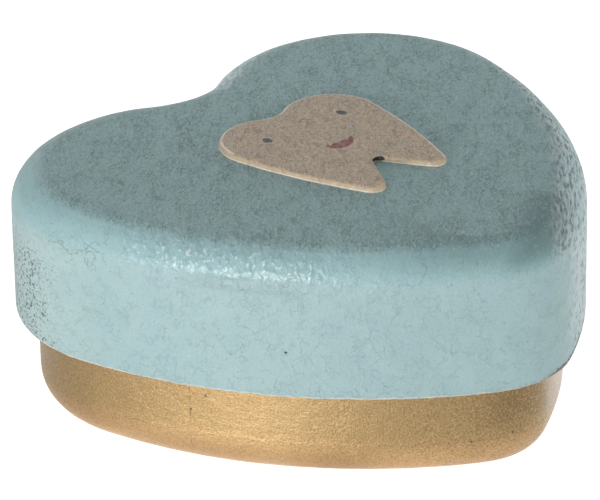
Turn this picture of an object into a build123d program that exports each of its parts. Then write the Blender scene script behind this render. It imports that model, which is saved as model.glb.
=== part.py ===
from build123d import *
import os
from math import atan2, acos, degrees, hypot, radians, sin, cos, sqrt

os.makedirs("parts", exist_ok=True)

# Heart-shaped keepsake box for baby teeth, in millimetres.
# The heart lies flat: +Y points to the notch between the lobes, -Y to the tip, +Z up.
# The origin is under the middle of the box, on the surface that it stands on.

# Heart outline of the lid, seen from above
heart_width = 72.0
heart_length = 66.9
lobe_radius = 20.3
notch_radius = 9.8
tip_radius = 12.1
side_radius = 62.2

# Lid
lid_height = 18.5
lid_top_thickness = 5.5
lid_top_round = 4.8
lid_wall = 2.4
lid_foot_round = 1.4
lid_clearance = 0.35

# Base
base_show_height = 12.3
floor_thickness = 5.0
floor_round = 4.7
base_wall_thickness = 2.4
base_lip_round = 0.5
wall_joint_gap = 0.12
wall_joint_share = 0.26

# Felt lining on the floor
pad_thickness = 1.5
pad_clearance = 0.4
pad_round = 0.5

# Tooth plaque on the lid
plaque_thickness = 0.7
plaque_edge_round = 0.3
plaque_x = 0.7
plaque_y = 8.9
plaque_turn_degrees = 0.8
crown_radius = 6.3
crown_half_spacing = 5.2
crown_dip_radius = 3.6
tooth_side_radius = 72.0
root_tip_radius = 1.65
root_half_spacing = 5.1
root_drop = 17.5
root_gap_radius = 0.65
root_gap_drop = 13.4

# How far a cut runs past the wall that it goes through
cut_overrun = 1.0

# Heights that follow from the sizes above
lid_foot_z = base_show_height
lid_top_z = lid_foot_z + lid_height
lid_plate_z = lid_top_z - lid_top_thickness
base_inset = lid_wall + lid_clearance

# Heart arcs: two lobes, a hollow arc between them, two long sides and a rounded tip
lobe_x = heart_width / 2 - lobe_radius
lobe_y = heart_length / 2 - lobe_radius
tip_y = tip_radius - heart_length / 2


def outer_circle_centre(first, first_radius, second, second_radius, radius):
    """Centre, on the -X side, of the circle that holds both circles and touches them."""
    to_first = radius - first_radius
    to_second = radius - second_radius
    across, along = second[0] - first[0], second[1] - first[1]
    gap = hypot(across, along)
    reach = (to_first**2 - to_second**2 + gap**2) / (2 * gap)
    rise = sqrt(to_first**2 - reach**2)
    across, along = across / gap, along / gap
    return (first[0] + across * reach + along * rise, first[1] + along * reach - across * rise)


def bearing(start, end):
    """Direction from one point to another, in degrees."""
    return degrees(atan2(end[1] - start[1], end[0] - start[0]))


lobe_centre = (lobe_x, lobe_y)
notch_centre = (0, lobe_y + sqrt((lobe_radius + notch_radius) ** 2 - lobe_x**2))
tip_centre = (0, tip_y)
side_centre = outer_circle_centre(lobe_centre, lobe_radius, tip_centre, tip_radius, side_radius)
notch_end = bearing(notch_centre, lobe_centre)
side_start = bearing(side_centre, lobe_centre)
side_end = bearing(side_centre, tip_centre)


def heart_face(inset):
    """The heart with its edge moved in by inset."""
    notch = notch_radius + inset
    lobe = lobe_radius - inset
    side = side_radius - inset
    tip = tip_radius - inset
    with BuildSketch() as face:
        with BuildLine():
            CenterArc(notch_centre, notch, -90, notch_end + 90)
            CenterArc(lobe_centre, lobe, notch_end + 180, side_start - notch_end - 180)
            CenterArc(side_centre, side, side_start, side_end - side_start)
            CenterArc(tip_centre, tip, side_end, -90 - side_end)
            mirror(about=Plane.YZ)
        make_face()
    return face.sketch


# Tooth arcs, in the plaque's own plan: crown lobes on the X axis, roots towards -Y
crown_centre = (crown_half_spacing, 0)
dip_rise = sqrt((crown_radius + crown_dip_radius) ** 2 - crown_half_spacing**2)
dip_centre = (0, dip_rise)
root_centre = (root_half_spacing, -root_drop)
root_gap_centre = (0, -root_gap_drop)
flank_centre = outer_circle_centre(
    crown_centre, crown_radius, root_centre, root_tip_radius, tooth_side_radius
)
dip_end = bearing(dip_centre, crown_centre)
flank_start = bearing(flank_centre, crown_centre)
flank_end = bearing(flank_centre, root_centre)
root_span = hypot(root_half_spacing, root_drop - root_gap_drop)
root_lean = degrees(acos((root_tip_radius + root_gap_radius) / root_span))
inner_flank = bearing(root_centre, root_gap_centre) + root_lean
root_tangent = (
    root_centre[0] + root_tip_radius * cos(radians(inner_flank)),
    root_centre[1] + root_tip_radius * sin(radians(inner_flank)),
)
gap_tangent = (
    root_gap_centre[0] - root_gap_radius * cos(radians(inner_flank)),
    root_gap_centre[1] - root_gap_radius * sin(radians(inner_flank)),
)


def tooth_face():
    """A molar seen from the front: two crown lobes, sides drawn in, two root tips."""
    with BuildSketch() as face:
        with BuildLine():
            CenterArc(dip_centre, crown_dip_radius, -90, dip_end + 90)
            CenterArc(crown_centre, crown_radius, dip_end + 180, flank_start - dip_end - 180)
            CenterArc(flank_centre, tooth_side_radius, flank_start, flank_end - flank_start)
            CenterArc(root_centre, root_tip_radius, flank_end, inner_flank - 360 - flank_end)
            Line(root_tangent, gap_tangent)
            CenterArc(root_gap_centre, root_gap_radius, inner_flank - 180, 270 - inner_flank)
            mirror(about=Plane.YZ)
        make_face()
    return face.sketch


# Floor plate of the base, its lower edge rounded over
with BuildPart() as base_floor:
    with BuildSketch():
        add(heart_face(base_inset))
    extrude(amount=floor_thickness)
    fillet(base_floor.faces().sort_by(Axis.Z)[0].edges(), floor_round)
base_floor.part.label = "base_floor"
export_step(base_floor.part, "parts/base_floor.step")

# Wall strip of the base, bent round the floor's outline; its ends meet in a hairline joint
joint_bearing = 180 - (side_start + wall_joint_share * (side_end - side_start))
joint_radius = side_radius - base_inset - base_wall_thickness / 2
joint_x = -side_centre[0] + joint_radius * cos(radians(joint_bearing))
joint_y = side_centre[1] + joint_radius * sin(radians(joint_bearing))
with BuildPart() as base_wall:
    with BuildSketch(Plane.XY.offset(floor_thickness)):
        add(heart_face(base_inset))
        add(heart_face(base_inset + base_wall_thickness), mode=Mode.SUBTRACT)
    extrude(amount=lid_plate_z - floor_thickness)
    fillet(base_wall.faces().sort_by(Axis.Z)[-1].edges(), base_lip_round)
    with BuildSketch(Plane.XY.offset(floor_thickness)):
        with Locations((joint_x, joint_y)):
            Rectangle(base_wall_thickness + 2 * cut_overrun, wall_joint_gap, rotation=joint_bearing)
    extrude(amount=lid_plate_z - floor_thickness, mode=Mode.SUBTRACT)
base_wall.part.label = "base_wall"
export_step(base_wall.part, "parts/base_wall.step")

# Felt lining, laid on the floor inside the wall
with BuildPart() as floor_pad:
    with BuildSketch(Plane.XY.offset(floor_thickness)):
        add(heart_face(base_inset + base_wall_thickness + pad_clearance))
    extrude(amount=pad_thickness)
    fillet(floor_pad.faces().sort_by(Axis.Z)[-1].edges(), pad_round)
floor_pad.part.label = "floor_pad"
export_step(floor_pad.part, "parts/floor_pad.step")

# Rim of the lid, which slides down round the base's wall; its foot is softened outside
with BuildPart() as lid_rim:
    with BuildSketch(Plane.XY.offset(lid_foot_z)):
        add(heart_face(0))
        add(heart_face(lid_wall), mode=Mode.SUBTRACT)
    extrude(amount=lid_plate_z - lid_foot_z)
    fillet(lid_rim.faces().sort_by(Axis.Z)[0].outer_wire().edges(), lid_foot_round)
lid_rim.part.label = "lid_rim"
export_step(lid_rim.part, "parts/lid_rim.step")

# Top plate of the lid, its upper edge rounded over; it rests on the base's wall
with BuildPart() as lid_top:
    with BuildSketch(Plane.XY.offset(lid_plate_z)):
        add(heart_face(0))
    extrude(amount=lid_top_thickness)
    fillet(lid_top.faces().sort_by(Axis.Z)[-1].edges(), lid_top_round)
lid_top.part.label = "lid_top"
export_step(lid_top.part, "parts/lid_top.step")

# Tooth plaque, cut from thin board and glued on the lid
with BuildPart() as tooth_plaque:
    with BuildSketch(Plane((plaque_x, plaque_y, lid_top_z)).rotated((0, 0, plaque_turn_degrees))):
        add(tooth_face())
    extrude(amount=plaque_thickness)
    fillet(tooth_plaque.faces().sort_by(Axis.Z)[-1].edges(), plaque_edge_round)
tooth_plaque.part.label = "tooth_plaque"
export_step(tooth_plaque.part, "parts/tooth_plaque.step")
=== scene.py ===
from math import acos, atan2, ceil, cos, degrees, hypot, radians, sin, sqrt

import bmesh
import bpy
from mathutils import Matrix, Quaternion, Vector


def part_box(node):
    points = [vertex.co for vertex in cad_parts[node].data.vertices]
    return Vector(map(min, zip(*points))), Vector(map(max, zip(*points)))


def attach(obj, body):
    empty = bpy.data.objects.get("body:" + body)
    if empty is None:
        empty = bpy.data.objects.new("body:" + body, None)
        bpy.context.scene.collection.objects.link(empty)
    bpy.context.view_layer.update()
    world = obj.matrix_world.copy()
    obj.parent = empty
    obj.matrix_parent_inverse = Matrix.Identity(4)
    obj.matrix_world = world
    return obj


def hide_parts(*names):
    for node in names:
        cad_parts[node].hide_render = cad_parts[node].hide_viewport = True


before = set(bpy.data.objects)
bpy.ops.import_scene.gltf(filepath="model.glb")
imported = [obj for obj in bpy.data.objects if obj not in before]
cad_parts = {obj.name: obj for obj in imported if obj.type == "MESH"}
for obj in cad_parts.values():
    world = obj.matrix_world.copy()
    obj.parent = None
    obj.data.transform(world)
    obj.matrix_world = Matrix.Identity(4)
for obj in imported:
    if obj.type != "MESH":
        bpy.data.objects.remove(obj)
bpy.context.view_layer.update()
bpy.ops.object.select_all(action="DESELECT")

# Base: a floor plate and a wall strip of wood-fibre board, glued and rounded over at the foot, then
# painted gold all over. The strip's ends meet in a hairline on the front left side, and the joint
# between strip and plate shows as a faint specked line just above the rounding.

heart_low, heart_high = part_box("lid_top")
floor_low, floor_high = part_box("base_floor")
wall_low, wall_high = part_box("base_wall")
lobe_radius = 0.0203
notch_radius = 0.0098
tip_radius = 0.0121
side_radius = 0.0622
board = 0.0024
foot_rounding = 0.0047
lip_rounding = 0.0005
outline_step = 0.0006
lobe = (heart_high.x - lobe_radius, heart_high.y - lobe_radius)
tip = (0, heart_low.y + tip_radius)
base_inset = heart_high.x - floor_high.x


def bearing(start, end):
    """Direction from one point to another in plan, in degrees."""
    return degrees(atan2(end[1] - start[1], end[0] - start[0]))


def holding_circle(first, first_radius, second, second_radius, radius):
    """Centre of the large circle that holds two circles and touches both, on their -X side."""
    to_first, to_second = radius - first_radius, radius - second_radius
    across, along = second[0] - first[0], second[1] - first[1]
    gap = hypot(across, along)
    reach = (to_first**2 - to_second**2 + gap**2) / (2 * gap)
    rise = sqrt(to_first**2 - reach**2)
    across, along = across / gap, along / gap
    return (first[0] + across * reach + along * rise, first[1] + along * reach - across * rise)


notch = (0, lobe[1] + sqrt((lobe_radius + notch_radius) ** 2 - lobe[0] ** 2))
side = holding_circle(lobe, lobe_radius, tip, tip_radius, side_radius)
mirrored_side = (-side[0], side[1])
notch_end = bearing(notch, lobe)
side_start = bearing(side, lobe)
side_end = bearing(side, tip)


def add_modifier(piece, kind, **settings):
    """Adds one modifier with its settings and applies it."""
    modifier = piece.modifiers.new(kind.lower(), kind)
    for name, value in settings.items():
        setattr(modifier, name, value)
    bpy.ops.object.modifier_apply(modifier=modifier.name)


def draw_outline(name, start, path, height, step):
    """Runs one point along half an outline, whose parts are arcs (centre, radius, turn in degrees) or
    straight moves (x, y), then mirrors the line across the middle and fills it."""
    bpy.ops.mesh.primitive_plane_add(size=step, location=(start[0], start[1], height))
    piece = bpy.context.object
    piece.name = name
    bpy.ops.object.mode_set(mode="EDIT")
    bpy.ops.mesh.select_mode(type="VERT")
    bpy.ops.mesh.merge(type="CENTER")
    for part in path:
        if len(part) == 2:
            bpy.ops.mesh.extrude_region_move(TRANSFORM_OT_translate={"value": (part[0], part[1], 0)})
            continue
        centre, radius, turn = part
        bpy.ops.mesh.spin(
            steps=max(2, ceil(radius * radians(abs(turn)) / step)),
            angle=radians(-turn),
            center=(centre[0], centre[1], height),
            axis=(0, 0, 1),
        )
    bpy.ops.mesh.select_all(action="SELECT")
    bpy.ops.mesh.remove_doubles(threshold=step / 20)
    bpy.ops.object.mode_set(mode="OBJECT")
    bpy.ops.object.transform_apply(location=True)
    add_modifier(piece, "MIRROR", merge_threshold=step / 20)
    bpy.ops.object.mode_set(mode="EDIT")
    bpy.ops.mesh.select_all(action="SELECT")
    bpy.ops.mesh.edge_face_add()
    bpy.ops.object.mode_set(mode="OBJECT")
    return piece


def draw_heart(name, inset, height):
    """The heart with its edge moved in by inset: notch, lobe, side and tip."""
    path = [
        (notch, notch_radius + inset, notch_end + 90),
        (lobe, lobe_radius - inset, side_start - notch_end - 180),
        (side, side_radius - inset, side_end - side_start),
        (tip, tip_radius - inset, -90 - side_end),
    ]
    return draw_outline(name, (0, notch[1] - notch_radius - inset), path, height, outline_step)


def pick_faces(piece, wanted):
    """Selects only the faces whose middle and normal pass a test."""
    bpy.ops.mesh.select_mode(type="FACE")
    bpy.ops.mesh.select_all(action="DESELECT")
    mesh = bmesh.from_edit_mesh(piece.data)
    for face in mesh.faces:
        face.select_set(wanted(face.calc_center_median(), face.normal))
    bmesh.update_edit_mesh(piece.data)


def thicken(piece, thickness):
    """Pulls a flat outline up into a block, and leaves it in edit mode."""
    bpy.ops.object.mode_set(mode="EDIT")
    bpy.ops.mesh.select_all(action="SELECT")
    bpy.ops.mesh.extrude_region_move(TRANSFORM_OT_translate={"value": (0, 0, thickness)})
    bpy.ops.mesh.select_all(action="SELECT")
    bpy.ops.mesh.normals_make_consistent(inside=False)


def recess(piece, facing, wall, depth):
    """Sinks a recess into the block's upper (1) or lower (-1) face, a wall's thickness from its edge."""
    pick_faces(piece, lambda middle, normal: normal.z * facing > 0.9)
    bpy.ops.mesh.inset(thickness=wall, use_even_offset=True)
    bpy.ops.mesh.extrude_region_move(TRANSFORM_OT_translate={"value": (0, 0, -facing * depth)})


def round_over(piece, height, facing, radius, segments):
    """Rounds the edges round the faces that lie at a height and face up (1) or down (-1)."""
    near = 0.00001
    pick_faces(piece, lambda middle, normal: abs(middle.z - height) < near and normal.z * facing > 0.9)
    bpy.ops.mesh.region_to_loop()
    bpy.ops.mesh.bevel(offset=radius, segments=segments, affect="EDGES")


def work_by_hand(piece, mesh_size, dents):
    """Evens out the mesh, lays it back on the true shape, then sinks it here and there, as filler
    and brushed paint do. dents lists how wide and how deep each kind of dent is."""
    bpy.ops.object.mode_set(mode="OBJECT")
    bpy.ops.object.duplicate()
    pattern = bpy.context.object
    bpy.ops.object.select_all(action="DESELECT")
    piece.select_set(True)
    bpy.context.view_layer.objects.active = piece
    add_modifier(piece, "REMESH", mode="VOXEL", voxel_size=mesh_size)
    add_modifier(piece, "SHRINKWRAP", target=pattern, wrap_method="NEAREST_SURFACEPOINT")
    bpy.data.objects.remove(pattern)
    for number, (width, depth) in enumerate(dents):
        clouds = bpy.data.textures.new(piece.name + "_dents_" + str(number), "CLOUDS")
        clouds.noise_scale = width
        clouds.noise_depth = 1
        add_modifier(piece, "DISPLACE", texture=clouds, strength=depth, mid_level=1)
    bpy.ops.object.shade_smooth()


class Value:
    """A value that runs through a paint's nodes, and can be added and multiplied like a number."""

    def __init__(self, nodes, socket):
        self.nodes = nodes
        self.socket = socket

    def __add__(self, other):
        return self.nodes.sum("ADD", self, other)

    def __sub__(self, other):
        return self.nodes.sum("SUBTRACT", self, other)

    def __rsub__(self, other):
        return self.nodes.sum("SUBTRACT", other, self)

    def __mul__(self, other):
        return self.nodes.sum("MULTIPLY", self, other)

    __radd__ = __add__
    __rmul__ = __mul__


class Nodes:
    """The nodes of one material or of the room round the box."""

    def __init__(self, tree):
        self.tree = tree
        self.tree.nodes.clear()

    def node(self, kind, inputs=None, output=0, **settings):
        """Makes a node, sets it up, and gives the value that comes out of it."""
        made = self.tree.nodes.new(kind)
        for name, value in settings.items():
            setattr(made, name, value)
        for name, value in (inputs or {}).items():
            if isinstance(value, Value):
                self.tree.links.new(value.socket, made.inputs[name])
            else:
                made.inputs[name].default_value = value
        return Value(self, made.outputs[output]) if made.outputs else None

    def sum(self, operation, *values):
        """One step of sums with values."""
        return self.node("ShaderNodeMath", dict(enumerate(values)), operation=operation)

    def larger(self, first, second):
        """The larger of two values."""
        return self.sum("MAXIMUM", first, second)


millimetres = 1000


class Paint(Nodes):
    """A finish. Its patterns are sized in millimetres, and outlines are handed to it in metres."""

    def __init__(self, name):
        self.material = bpy.data.materials.new(name)
        self.material.use_nodes = True
        super().__init__(self.material.node_tree)
        here = self.node("ShaderNodeTexCoord", output="Object")
        self.place = self.vector("SCALE", here, Scale=millimetres)
        self.height = self.node("ShaderNodeSeparateXYZ", {0: self.place}, "Z")
        self.grounds = self.place

    def draw_out(self, direction, stretch):
        """Stretches the patterns in a frame turned to a bearing, as strokes of a wide brush do."""
        inputs = {"Vector": self.place, "Rotation": (0, 0, radians(direction)), "Scale": stretch}
        self.grounds = self.node("ShaderNodeMapping", inputs, vector_type="TEXTURE")

    def vector(self, operation, *values, output=0, **more):
        """One step of sums with places or colours."""
        inputs = {**dict(enumerate(values)), **more}
        return self.node("ShaderNodeVectorMath", inputs, output, operation=operation)

    def noise(self, size, detail=2, output="Fac", place=None):
        """Soft patches of about the given size."""
        inputs = {"Vector": place or self.grounds, "Scale": 1 / size, "Detail": detail}
        return self.node("ShaderNodeTexNoise", inputs, output)

    def ramp(self, value, low, high):
        """0 at low, 1 at high, and a soft step between."""
        inputs = {"Value": value, "From Min": low, "From Max": high}
        return self.node("ShaderNodeMapRange", inputs, interpolation_type="SMOOTHSTEP")

    def band(self, value, middle, reach, core):
        """1 within core of the middle, fading to 0 at reach from it on both sides."""
        return self.ramp(self.sum("ABSOLUTE", value - middle), reach, core)

    def mix(self, factor, first, second):
        """First colour where factor is 0, second where it is 1."""
        first, second = (
            colour if isinstance(colour, Value) else (*colour, 1) for colour in (first, second)
        )
        return self.node("ShaderNodeMix", {0: factor, 6: first, 7: second}, 2, data_type="RGBA")

    def cells(self, size, wander, feature):
        """Distance from the nearest spot or cell edge, in a scatter bent by wander."""
        drift = self.vector("SUBTRACT", self.noise(size / 1.6, 3, "Color"), (0.5, 0.5, 0.5))
        bent = self.vector("MULTIPLY_ADD", drift, (wander, wander, wander), self.grounds)
        inputs = {"Vector": bent, "Scale": 1 / size}
        return self.node("ShaderNodeTexVoronoi", inputs, "Distance", feature=feature) * size

    def cracks(self, size, wander, width):
        """Hair cracks: 1 in a crack, 0 beside it."""
        return self.ramp(self.cells(size, wander, "DISTANCE_TO_EDGE"), width, width * 0.2)

    def pinholes(self, size, radius):
        """Round pits, few and far between."""
        return self.ramp(self.cells(size, 0, "F1"), radius, radius * 0.5)

    def around(self, centre, size):
        """How far off a point is, where 1 is the edge of an oval of a size."""
        away = self.vector("DIVIDE", self.vector("SUBTRACT", self.place, centre), size)
        return self.vector("LENGTH", away, output="Value")

    def from_arc(self, middle, radius):
        """How far off a point is in plan, where 1 is on an arc of the outline and 0 its middle."""
        start = (millimetres * middle[0], millimetres * middle[1], 0)
        share = 1 / (millimetres * radius)
        away = self.vector("SUBTRACT", self.place, start)
        in_plan = self.vector("MULTIPLY", away, (share, share, 0))
        return self.vector("LENGTH", in_plan, output="Value")

    def towards(self, direction, start=(0, 0)):
        """How many millimetres a point lies from a start in plan towards a bearing."""
        turn = radians(direction)
        away = self.vector("SUBTRACT", self.place, (millimetres * start[0], millimetres * start[1], 0))
        return self.vector("DOT_PRODUCT", away, (cos(turn), sin(turn), 0), output="Value")

    def coat(self, piece, colour, roughness, height, more=None):
        """Finishes a piece. height is the relief, and more holds the shader's other values."""
        relief = self.node("ShaderNodeBump", {"Height": height, "Distance": 1 / millimetres, "Strength": 1})
        inputs = {"Base Color": colour, "Roughness": roughness, "Normal": relief, **(more or {})}
        shader = self.node("ShaderNodeBsdfPrincipled", inputs)
        self.node("ShaderNodeOutputMaterial", {"Surface": shader})
        piece.data.materials.clear()
        piece.data.materials.append(self.material)


base = draw_heart("gold_base", base_inset, floor_low.z)
thicken(base, wall_high.z - floor_low.z)
recess(base, 1, board, wall_high.z - floor_high.z)
round_over(base, floor_low.z, -1, foot_rounding, segments=10)
round_over(base, wall_high.z, 1, lip_rounding, segments=3)
work_by_hand(base, mesh_size=0.00045, dents=[(0.012, 0.00010), (0.0022, 0.00004)])
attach(base, "base")
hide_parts("base_floor", "base_wall")

# From the middle of the box, its right end in the photograph lies at this bearing
right_bearing = -42.9
gold_dull, gold_bright = (0.38, 0.258, 0.115), (0.43, 0.295, 0.138)
gold_foot_lit = (0.56, 0.355, 0.17)
lid_shadow_brown = (0.17, 0.10, 0.04)
grain_dark, grain_light = (0.22, 0.14, 0.055), (0.66, 0.49, 0.26)
mark_brown = (0.10, 0.065, 0.03)
seam_share = 0.26
seam_height = 8
joint_height = millimetres * floor_high.z - 0.05
gold_pits = (-28.7, -2.7, 8.0), (-27.9, -4.5, 10.1), (-7.0, -28.0, 4.9), (-2.4, -30.3, 5.4)
pit_size = (0.2, 0.2, 0.2)

gold = Paint("gold_paint")
gold.draw_out(right_bearing, (1, 1.8, 1.1))
sideways = gold.towards(right_bearing)
grain = gold.noise(0.21, 2)
dapple = gold.noise(1.4, 3)
streaks = gold.noise(1.0, 2, place=gold.vector("MULTIPLY", gold.place, (0.5, 0.5, 1.4)))
tone = gold.mix(gold.noise(9, 2), gold_dull, gold_bright)
# Painted light: the foot is painted lighter and more orange, where light thrown up from the table falls on
# it
tone = gold.mix(gold.ramp(gold.height + 0.8 * dapple, 6.6, 4.2) * 0.5, tone, gold_foot_lit)
# Painted shadow: the wall right of the middle is painted browner just under the lid's edge, where the
# overhang shades it
painted_lid_shadow = gold.ramp(gold.height, 5, 8.5) * gold.ramp(sideways, 13, 18.5) * gold.ramp(sideways, 25.5, 22.5)
tone = gold.mix(painted_lid_shadow * 0.42, tone, lid_shadow_brown)
coarser = gold.ramp(sideways, -4, 14)
tone = gold.mix(gold.ramp(grain, 0.52, 0.64) * (0.36 + 0.16 * coarser), tone, grain_dark)
tone = gold.mix(gold.ramp(grain, 0.48, 0.36) * (0.28 + 0.12 * coarser), tone, grain_light)

# The hairline where the strip's ends meet, the joint above the foot, and pits in the board
seam_bearing = 180 - side_start - seam_share * (side_end - side_start)
seam_way = Vector((cos(radians(seam_bearing)), sin(radians(seam_bearing))))
seam_place = millimetres * (Vector(mirrored_side) + (side_radius - base_inset) * seam_way)
wobble = (gold.noise(1.5, 2) - 0.5) * 0.2
seam = gold.band(gold.towards(seam_bearing - 90, mirrored_side) + wobble, 0, 0.06, 0.02)
seam = seam * gold.ramp(gold.around((*seam_place, seam_height), (6, 6, 40)), 1, 0.9)
seam = seam * gold.ramp(gold.noise(0.8, 2), 0.4, 0.6)
plate_joint = gold.band(gold.height + wobble, joint_height, 0.14, 0.04)
plate_joint = plate_joint * gold.ramp(gold.noise(0.35, 3), 0.5, 0.62)
marks = gold.larger(seam * 0.6, plate_joint * 0.45)
marks = gold.larger(marks, gold.pinholes(3.6, 0.13))
for pit in gold_pits:
    marks = gold.larger(marks, gold.ramp(gold.around(pit, pit_size), 1, 0.6))
tone = gold.mix(marks * 0.8, tone, mark_brown)
relief = 0.05 * grain + 0.04 * dapple + 0.05 * streaks - 0.05 * marks
relief = relief + 0.015 * gold.band(gold.height + wobble, joint_height, 0.6, 0)
varnish = {"Metallic": 1, "Coat Weight": 0.4 + 0.6 * gold.ramp(sideways, 21.5, 25), "Coat Roughness": 0.25}
gold.coat(base, tone, 0.40 + 0.14 * dapple, relief, varnish)

# Felt lining: a heart of cream wool felt, cut a little smaller than the floor and glued on it inside
# the wall, so that what is kept in the box lies soft.

pad_low, pad_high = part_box("floor_pad")
felt_inset = heart_high.x - pad_high.x
felt_rounding = 0.0005
felt = draw_heart("felt_lining", felt_inset, pad_low.z)
thicken(felt, pad_high.z - pad_low.z)
round_over(felt, pad_high.z, 1, felt_rounding, segments=3)
work_by_hand(felt, mesh_size=0.0005, dents=[(0.004, 0.00015), (0.0012, 0.00012)])
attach(felt, "base")
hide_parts("floor_pad")

wool = Paint("cream_felt")
fibres = wool.noise(0.35, 4)
cream = wool.mix(fibres, (0.70, 0.62, 0.48), (0.86, 0.80, 0.68))
wool.coat(felt, cream, 0.95, 0.15 * fibres + 0.06 * wool.cracks(0.8, 0.6, 0.2))

# Lid: the same build upside down, a rim strip under a thick top plate whose edge is rounded over.
# It is painted a greyed blue-green that has dried to a leathery skin with fine hair cracks.

rim_low, rim_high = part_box("lid_rim")
edge_rounding = 0.0048
rim_easing = 0.0006
lid = draw_heart("painted_lid", 0, rim_low.z)
thicken(lid, heart_high.z - rim_low.z)
recess(lid, -1, board, rim_high.z - rim_low.z)
round_over(lid, heart_high.z, 1, edge_rounding, segments=10)
round_over(lid, rim_low.z, -1, rim_easing, segments=3)
work_by_hand(lid, mesh_size=0.00042, dents=[(0.014, 0.00012), (0.0025, 0.00006)])
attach(lid, "lid")
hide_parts("lid_rim", "lid_top")

skin_dark, skin_light = (0.275, 0.408, 0.416), (0.325, 0.455, 0.462)
skin_blue = (0.285, 0.42, 0.455)
turned_edge_shading_teal = (0.245, 0.46, 0.485)
shade_grey = (0.11, 0.18, 0.18)
below_turn_shade_grey = (0.13, 0.19, 0.19)
fold_shade_dark = (0.09, 0.155, 0.155)
left_end_sheen_pale = (0.40, 0.52, 0.51)
worn_pale = (0.64, 0.71, 0.71)
ruck_sheen_pale, ruck_shade_dark = (0.54, 0.565, 0.59), (0.08, 0.12, 0.12)
painted_glint_white = (0.80, 0.88, 0.90)
grit_light, grit_dark = (0.46, 0.60, 0.61), (0.12, 0.19, 0.185)
crack_dark = (0.10, 0.16, 0.155)
pit_dark = (0.035, 0.06, 0.055)
dot_dark = (0.03, 0.05, 0.05)
scratch_green = (0.33, 0.36, 0.25)
bare_board = (0.70, 0.68, 0.62)
chip_brown = (0.22, 0.19, 0.14)
split_dark = (0.07, 0.07, 0.065)
branching_place, branching_size = (-35.2, 9, 26.8), (3, 4.5, 2)
worn_place, worn_size = (8, 29, 30), (8, 6, 3)
dot_place, dot_size = (-24.6, -15.1, 18.5), (0.2, 0.2, 0.17)
scratch_place, scratch_size = (-25.6, -13.7, 18.8), (0.45, 0.45, 0.09)

skin = Paint("blue_green_paint")
skin.draw_out(right_bearing, (1, 2.2, 1.1))
sideways = skin.towards(right_bearing)
inwards = skin.towards(right_bearing + 90)
to_right_lobe = skin.towards(0)
below_top = millimetres * heart_high.z - skin.height
above_foot = skin.height - millimetres * rim_low.z
lobe_edge = skin.from_arc(lobe, lobe_radius)
side_edge = skin.from_arc(side, side_radius)
front_edge = skin.from_arc(mirrored_side, side_radius)
tip_edge = skin.from_arc(tip, tip_radius)

# Where the paint differs: the flat top, the crumpled right end with its rim, the pitted left end, and
# the shoulder that catches the light along the turned front edge
drift = skin.noise(2.2, 2)
on_top = skin.ramp(below_top, 0.8, 0.05)
lobe_rim = skin.ramp(lobe_edge + 0.1 * drift, 0.87, 0.99) * skin.ramp(to_right_lobe, 28, 31)
side_rim = skin.ramp(side_edge + 0.03 * drift, 0.932, 0.965)
back_right = skin.ramp(sideways, 16, 19.5) * skin.ramp(inwards, 0, 8)
side_rim = side_rim * skin.larger(skin.ramp(sideways, 22.5, 25), back_right)
rim = skin.larger(lobe_rim * skin.ramp(sideways, 11, 18), side_rim) * skin.ramp(below_top, 4.8, 2.3)
right_end = skin.larger(skin.ramp(sideways + 2.5 * drift, 26.0, 28.7), rim)
left_end = skin.ramp(sideways + 6 * drift, -30.5, -35.5) * skin.ramp(below_top, 3.8, 8.3)
shoulder = skin.band(below_top, 2.0, 2.0, 0.5) * skin.band(sideways, -14, 15, 8)

# Patterns in the skin
wrinkles = skin.noise(0.8, 5)
lumps = skin.noise(0.9, 1)
grit = skin.noise(0.25, 3)
mottle = skin.noise(3.5, 4)
rucks = skin.noise(0.38, 3, place=skin.vector("MULTIPLY", skin.grounds, (1, 0.5, 0.7)))
fine = skin.cracks(0.75, 1.1, 0.065) * skin.ramp(skin.noise(1.6, 2), 0.43, 0.6)
branching = skin.ramp(skin.around(branching_place, branching_size), 1.1, 0.8)
coarse = skin.cracks(2.4, 2.4, 0.05) * skin.larger(skin.ramp(skin.noise(1.7, 2), 0.50, 0.58), branching)
hair = skin.ramp(fine * (0.6 + 0.4 * on_top) + 0.8 * coarse, 0, 1)
specks = skin.ramp(skin.noise(0.3, 2), 0.67, 0.73) * skin.ramp(skin.noise(3.0, 2), 0.42, 0.6)
pits = skin.ramp(skin.noise(0.28, 2) + 0.06 * left_end, 0.635, 0.68) * left_end
painted_crease_shade = skin.ramp(wrinkles, 0.46, 0.35) * skin.ramp(skin.noise(3, 2), 0.38, 0.58)
painted_glints = skin.ramp(skin.noise(0.45, 3), 0.58, 0.64) * shoulder

# Broad tones: mottled all over, with painted shading: greener on the turned edge, darker on the top towards
# the front, in a band below the turn, in the fold before the top and in the right front corner; a painted
# sheen at the left end; paler where the notch's rim is worn
tone = skin.mix(mottle, skin_dark, skin_light)
tone = skin.mix(skin.ramp(skin.noise(3.1, 2), 0.5, 0.62) * 0.5, tone, skin_blue)
# Painted shading: the turned edge is painted greener, as it looks where it mirrors nothing bright
tone = skin.mix(skin.band(below_top, 1.9, 2.2, 0.8) * 0.32, tone, turned_edge_shading_teal)
# Painted shade: the top is darkened, more towards the front
tone = skin.mix(on_top * 0.09 * skin.ramp(inwards, 30, -5), tone, shade_grey)
# Painted shade: a grey band below the turned front edge dims the lamp's highlight there
painted_shade_below_turn = skin.band(below_top, 4.1, 1.3, 0.5) * skin.band(sideways, -13, 9, 5)
tone = skin.mix(painted_shade_below_turn * 0.2, tone, below_turn_shade_grey)
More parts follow.
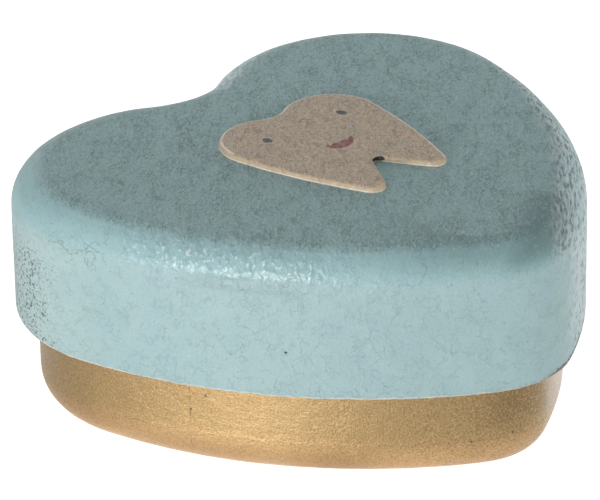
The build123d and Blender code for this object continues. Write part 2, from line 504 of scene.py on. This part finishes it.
# Painted shade: darker in the fold before the top and in the right front corner by the tip
at_tip = skin.ramp(tip_edge, 0.54, 0.63) * skin.ramp(inwards, -16, -18)
painted_fold_shade = skin.larger(skin.ramp(front_edge, 0.910, 0.929), at_tip) * skin.ramp(below_top, 4.0, 0.6)
painted_fold_shade = painted_fold_shade * skin.ramp(sideways, -2, 16) * skin.ramp(sideways, 28, 25.5)
painted_corner_shade = skin.ramp(side_edge, 0.85, 0.95) * skin.ramp(below_top, 4.3, 1.3) * skin.ramp(sideways, 9, 21)
painted_corner_shade = painted_corner_shade * skin.ramp(sideways, 27.5, 25) * skin.ramp(inwards, -9.5, -13.5)
tone = skin.mix(skin.larger(painted_fold_shade * 0.45, painted_corner_shade * 0.75), tone, fold_shade_dark)
# Painted sheen: the left end is paler, as where it mirrors the bright room
painted_left_end_sheen = skin.ramp(sideways, -29, -38) * skin.ramp(below_top, 2.8, 5.8)
tone = skin.mix(painted_left_end_sheen * 0.5, tone, left_end_sheen_pale)
worn = skin.ramp(lobe_edge, 0.75, 0.84) * skin.ramp(skin.around(worn_place, worn_size), 1.1, 0.7)
worn = worn * skin.ramp(skin.noise(0.6, 3), 0.42, 0.56)
tone = skin.mix(worn * 0.8, tone, worn_pale)

# Fine tones: creases darkened with painted shade, rucks with painted sheen and shade, painted glints, grit,
# cracks, pits, and one dark dot with a scratch beside it
# Painted shade: the creases are darkened, most on the top
tone = skin.mix(painted_crease_shade * (0.04 + 0.36 * on_top), tone, shade_grey)
# Painted sheen and shade: the rucks at the right end are paler on their crests and along the rim, darker in
# their hollows
ruck_crests_and_sheen = 0.22 + 0.28 * skin.ramp(rucks, 0.50, 0.60) + 0.25 * skin.ramp(sideways, 27.6, 28.8)
tone = skin.mix(right_end * ruck_crests_and_sheen, tone, ruck_sheen_pale)
tone = skin.mix(right_end * skin.ramp(rucks, 0.47, 0.40) * 0.7, tone, ruck_shade_dark)
# Painted highlight: white glints on the shoulder along the turned front edge
tone = skin.mix(painted_glints * 0.42, tone, painted_glint_white)
tone = skin.mix(skin.ramp(grit, 0.54, 0.7) * (0.15 + 0.22 * on_top), tone, grit_light)
tone = skin.mix(skin.ramp(grit, 0.46, 0.32) * (0.12 + 0.33 * on_top), tone, grit_dark)
tone = skin.mix(hair * (0.22 + 0.34 * on_top) + 0.4 * specks, tone, crack_dark)
tone = skin.mix(coarse * branching * 0.4, tone, crack_dark)
tone = skin.mix(pits * 0.8, tone, pit_dark)
dot = skin.ramp(skin.around(dot_place, dot_size), 1, 0.7)
tone = skin.mix(dot, tone, dot_dark)
scratch = skin.ramp(skin.around(scratch_place, scratch_size), 1.2, 0.9)
tone = skin.mix(scratch * 0.6, tone, scratch_green)

# The rim's lower edge, where the paint is thin and chipped, and split towards the right end
ragged = above_foot + 0.6 * (skin.noise(1.2, 3) - 0.5)
tone = skin.mix(skin.ramp(ragged, 0.55, 0.40) * 0.6, tone, bare_board)
chips = skin.ramp(ragged + 0.8 * (grit - 0.5), 0.32, 0.2) * skin.ramp(skin.noise(0.7, 2), 0.42, 0.55)
tone = skin.mix(chips * 0.7, tone, chip_brown)
split = ragged - 0.5 * skin.ramp(sideways, 22, 26) + 1.2 * (grit - 0.5)
split = skin.ramp(split, 0.6, 0.4) * skin.ramp(sideways, 10, 24)
tone = skin.mix(split * (0.4 + 0.5 * skin.ramp(sideways, 22, 24)), tone, split_dark)

wrinkle_depth = 0.07 + 0.20 * on_top + 0.10 * right_end + 0.15 * left_end + 0.16 * shoulder
relief = wrinkles * wrinkle_depth + rucks * 0.40 * right_end + (0.06 + 0.20 * shoulder) * lumps
relief = relief + grit * (0.02 + 0.12 * on_top) - 0.03 * hair - 0.03 * specks - 0.08 * pits
skin.coat(lid, tone, 0.34 + 0.16 * mottle - 0.2 * shoulder, relief, {"Specular IOR Level": 0.4})

# Tooth plaque: a molar cut from thin board and glued flat on the lid. Its upper edge is eased and its
# top painted sand, with a face brushed on; a black spot of painted shade marks the narrow gap between the
# roots.

plaque_low, plaque_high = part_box("tooth_plaque")
crown = (0.0052, 0)
crown_radius = 0.0063
dip_radius = 0.0036
flank_radius = 0.072
root = (0.0051, -0.0175)
root_radius = 0.00165
root_gap = (0, -0.0134)
gap_radius = 0.00065
plaque_place = (0.0007, 0.0089)
plaque_turn = 0.8
plaque_rounding = 0.00055
glued_in = 0.00012

dip = (0, sqrt((crown_radius + dip_radius) ** 2 - crown[0] ** 2))
flank = holding_circle(crown, crown_radius, root, root_radius, flank_radius)
dip_end = bearing(dip, crown)
flank_start = bearing(flank, crown)
flank_end = bearing(flank, root)
span = hypot(root[0], root[1] - root_gap[1])
inner_flank = bearing(root, root_gap) + degrees(acos((root_radius + gap_radius) / span))
leave = Vector((cos(radians(inner_flank)), sin(radians(inner_flank))))
straight = Vector(root_gap) - gap_radius * leave - Vector(root) - root_radius * leave
tooth_path = [
    (dip, dip_radius, dip_end + 90),
    (crown, crown_radius, flank_start - dip_end - 180),
    (flank, flank_radius, flank_end - flank_start),
    (root, root_radius, inner_flank - 360 - flank_end),
    straight,
    (root_gap, gap_radius, 270 - inner_flank),
]
plaque_foot = plaque_low.z - glued_in
plaque = draw_outline(
    "tooth_plaque_board", (0, dip[1] - dip_radius), tooth_path, plaque_foot, outline_step / 2
)
thicken(plaque, plaque_high.z - plaque_foot)
round_over(plaque, plaque_high.z, 1, plaque_rounding, segments=6)
bpy.ops.object.mode_set(mode="OBJECT")
plaque.location = (*plaque_place, 0)
plaque.rotation_euler = (0, 0, radians(plaque_turn))
bpy.ops.object.transform_apply(location=True, rotation=True)
work_by_hand(plaque, mesh_size=0.00015, dents=[(0.0022, 0.00006), (0.0006, 0.00003)])
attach(plaque, "lid")
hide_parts("tooth_plaque")

sand_dark, sand_light = (0.485, 0.375, 0.275), (0.705, 0.55, 0.41)
fleck_dark, fleck_light = (0.31, 0.235, 0.175), (0.92, 0.76, 0.60)
fibre_dark = (0.15, 0.11, 0.085)
eye_blue = (0.035, 0.07, 0.10)
mouth_dark, mouth_red = (0.20, 0.045, 0.045), (0.37, 0.13, 0.115)
rounding_brown = (0.24, 0.18, 0.13)
far_rim_highlight_pale = (0.86, 0.77, 0.68)
cut_dark, cut_light, cut_low = (0.36, 0.285, 0.19), (0.54, 0.45, 0.32), (0.68, 0.61, 0.50)
gap_shade_black = (0.012, 0.01, 0.01)
face_height = millimetres * plaque_high.z
eye_places = (-4.95, 8.85, face_height), (6.95, 8.35, face_height)
eye_size = (0.55, 0.75, 2)
chin, chin_radius = (0.00085, 0.0030), 0.00225
lip, lip_radius = (0.0009, 0.0098), 0.00735
gap_shade_place, gap_shade_size = (1.2, -4.1, 31.15), (0.95, 0.6, 0.26)

sand = Paint("sand_paint")
sand.draw_out(right_bearing, (1, 1.9, 1.1))
mottle = sand.noise(0.55, 4)
speckle = sand.noise(0.22, 2)
brush = sand.noise(0.5, 3)
fibres = sand.cracks(0.7, 0.9, 0.06) * sand.ramp(sand.noise(1.3, 2), 0.5, 0.6)
tone = sand.mix(sand.ramp(mottle, 0.3, 0.7), sand_dark, sand_light)
tone = sand.mix(sand.ramp(speckle, 0.52, 0.64) * 0.75, tone, fleck_dark)
tone = sand.mix(sand.ramp(speckle, 0.48, 0.32) * 0.55, tone, fleck_light)
tone = sand.mix(fibres * 0.45, tone, fibre_dark)

# The face: two oval eyes, and a mouth below one arc and inside another
eyes = sand.sum("MINIMUM", *(sand.around(place, eye_size) for place in eye_places))
tone = sand.mix(sand.ramp(eyes + 0.5 * brush, 1.3, 1.15), tone, eye_blue)
lips = sand.larger(sand.from_arc(chin, chin_radius), 2 - sand.from_arc(lip, lip_radius))
mouth = sand.mix(sand.ramp(brush, 0.4, 0.62), mouth_dark, mouth_red)
tone = sand.mix(sand.ramp(lips + 0.2 * brush, 1.12, 1.07), tone, mouth)

# The eased edge: a darker rounding with a painted highlight along the far side, above the cut edge of the
# board
turned = Matrix.Rotation(radians(plaque_turn), 2)


def rim_line(middle, radius, inside):
    """A line just inside (1) or outside (-1) one arc of the plaque's outline."""
    placed = turned @ Vector(middle) + Vector(plaque_place)
    reach = millimetres * radius
    return sand.ramp(sand.from_arc(placed, radius), 1 - 0.65 * inside / reach, 1 - 0.45 * inside / reach)


across = sand.towards(0, plaque_place)
along = sand.towards(90, plaque_place)
in_dip = sand.band(across, 0, 2.0, 1.8)
left_crown = sand.ramp(across, 0.1, -0.1) * rim_line((-crown[0], crown[1]), crown_radius, 1)
right_crown = sand.ramp(across, -0.1, 0.1) * rim_line(crown, crown_radius, 1)
far_crowns = (left_crown + right_crown) * (1 - in_dip) + rim_line(dip, dip_radius, -1) * in_dip
far_flank = sand.ramp(along, 0.1, -0.1) * rim_line(flank, flank_radius, 1)
painted_far_rim_highlight = sand.ramp(along, -0.1, 0.1) * far_crowns + far_flank
below_face = face_height - sand.height
drop = below_face - 0.12 * (speckle - 0.5)
cut = sand.mix(sand.noise(0.4, 3), cut_dark, cut_light)
cut = sand.mix(sand.ramp(below_face - 0.15 * speckle, 0.44, 0.52), cut, cut_low)
tone = sand.mix(sand.ramp(drop, 0.01, 0.06) * 0.35, tone, rounding_brown)
# Painted highlight: the far side of the eased edge is paler
tone = sand.mix(painted_far_rim_highlight * 0.6, tone, far_rim_highlight_pale)
tone = sand.mix(sand.ramp(drop, 0.10, 0.18), tone, cut)
# Painted shade: a black spot in the narrow gap between the roots
painted_gap_shade = sand.ramp(sand.around(gap_shade_place, gap_shade_size) + 0.5 * brush, 1.3, 1.2)
tone = sand.mix(painted_gap_shade, tone, gap_shade_black)
relief = 0.16 * mottle + 0.09 * speckle - 0.05 * fibres
sand.coat(plaque, tone, 0.62 - 0.3 * sand.ramp(below_face, 0.01, 0.08), relief)

# Table and studio: a pale table top in a pale room, lit by a large soft lamp low on the left and one
# low on the right, with four weak ones behind and above.

table_size = 4
table_height = -0.0001
bpy.ops.mesh.primitive_plane_add(size=table_size, location=(0, 0, table_height))
table = bpy.context.object
table.name = "table"


def kinds_of_ray(nodes):
    """Rays that come straight from the camera, are mirrored, or have passed through something."""
    outputs = nodes.node("ShaderNodeLightPath").socket.node.outputs
    names = ("Is Camera Ray", "Is Glossy Ray", "Is Transmission Ray")
    return [Value(nodes, outputs[name]) for name in names]


# The table glows white to the camera. What the gold mirrors of it is a pool of light in front of the
# box, brighter close to the foot right of the middle and dimmer left of it.
white_top = Paint("white_table")
seen, mirrored, through = kinds_of_ray(white_top)
in_front = white_top.towards(right_bearing - 90)
sideways = white_top.towards(right_bearing)
by_foot = white_top.ramp(white_top.from_arc(mirrored_side, side_radius - base_inset), 1.13, 1.05)
pool = 0.26 + 0.60 * white_top.band(sideways, -19, 23, 2)
pool = pool + (0.28 + 0.14 * white_top.ramp(sideways, 16, 8)) * by_foot * white_top.ramp(sideways, -4, 6)
pool = pool + 0.12 * white_top.ramp(in_front, 18, 0) * white_top.ramp(sideways, 26, 33)
pool = pool - 0.22 * by_foot * white_top.ramp(sideways, -9, -16) * white_top.ramp(sideways, -30, -22)
pool = pool * white_top.ramp(in_front, 100, 40)
brightness = white_top.larger(seen * 0.75, white_top.larger(mirrored, through) * pool)
glow = white_top.node("ShaderNodeEmission", {"Strength": brightness})
matt = white_top.node("ShaderNodeBsdfDiffuse", {"Color": (0.85, 0.85, 0.85, 1)})
both = white_top.node("ShaderNodeAddShader", {0: glow, 1: matt})
white_top.node("ShaderNodeOutputMaterial", {"Surface": both})
table.data.materials.append(white_top.material)

# The room is white to the camera and in what is mirrored just above the floor, and dim otherwise
world = bpy.data.worlds.new("pale_room")
bpy.context.scene.world = world
world.use_nodes = True
room = Nodes(world.node_tree)
seen, mirrored, through = kinds_of_ray(room)
way = room.node("ShaderNodeTexCoord", output="Generated")
rise = room.node("ShaderNodeSeparateXYZ", {0: way}, "Z")
low = room.node("ShaderNodeMapRange", {"Value": rise, "From Min": 0.12, "From Max": 0.02})
white = room.larger(seen, room.larger(mirrored, through) * low)
air = room.node("ShaderNodeBackground", {"Color": (1, 1, 1, 1), "Strength": 0.30 + 0.70 * white})
room.node("ShaderNodeOutputWorld", {"Surface": air})

lamp_aim = Vector((0, 0, 0.015))


def soft_lamp(name, azimuth, elevation, distance, size, watts, colour=(1, 1, 1)):
    """An oblong lamp that faces the box from a bearing and a height, both in degrees."""
    data = bpy.data.lights.new(name, "AREA")
    data.shape = "RECTANGLE"
    data.size, data.size_y = size
    data.energy = watts
    data.color = colour
    lamp = bpy.data.objects.new(name, data)
    bpy.context.scene.collection.objects.link(lamp)
    turn, rise = radians(azimuth), radians(elevation)
    direction = Vector((cos(turn) * cos(rise), sin(turn) * cos(rise), sin(rise)))
    lamp.location = lamp_aim + direction * distance
    lamp.rotation_euler = (-direction).to_track_quat("-Z", "Y").to_euler()
    return lamp


warm, cool = (1, 0.955, 0.95), (0.84, 1, 1)
soft_lamp("key_lamp", 197, 8, 0.7, (0.36, 0.24), 4.45, warm)
fill_lamp = soft_lamp("fill_lamp", 318, 6, 0.7, (0.40, 0.17), 2.85, warm)
fill_lamp.visible_glossy = False
soft_lamp("back_lamp", 60, 15, 0.7, (0.45, 0.30), 0.42, cool)
soft_lamp("upper_left_lamp", 150, 40, 0.7, (0.45, 0.30), 0.16, cool)
soft_lamp("upper_right_lamp", 340, 50, 0.45, (0.30, 0.30), 0.17, cool)
soft_lamp("small_lamp", 188, 50, 0.7, (0.16, 0.05), 0.36)

# Camera: the photograph's long lens, from the front left and above. Its target lies a little to the
# right of and below the middle of the picture, by the pixels given.

view_target = Vector((0, 0.00706, rim_low.z))
view_azimuth = radians(42.881)
view_elevation = radians(26.327)
view_roll = 0.01823
view_distance = 0.6060
lens_pixels = 4929.75
picture_width = 600
target_right, target_below = 9.878, 24.167
film_width = 36
towards_camera = Vector((
    -sin(view_azimuth) * cos(view_elevation),
    -cos(view_azimuth) * cos(view_elevation),
    sin(view_elevation),
))
camera = bpy.data.objects.new("camera", bpy.data.cameras.new("camera"))
bpy.context.scene.collection.objects.link(camera)
camera.location = view_target + towards_camera * view_distance
camera.rotation_mode = "QUATERNION"
roll = Quaternion((0, 0, 1), -view_roll)
square_on = (-towards_camera).to_track_quat("-Z", "Y") @ roll
aside = square_on @ Vector((-target_right, target_below, 0)) * view_distance / lens_pixels
camera.rotation_quaternion = (aside - towards_camera * view_distance).to_track_quat("-Z", "Y") @ roll
camera.data.sensor_width = film_width
camera.data.lens = film_width * lens_pixels / picture_width
camera.data.clip_start, camera.data.clip_end = 0.05, 20
bpy.context.scene.camera = camera
bpy.context.scene.view_settings.view_transform = "Standard"
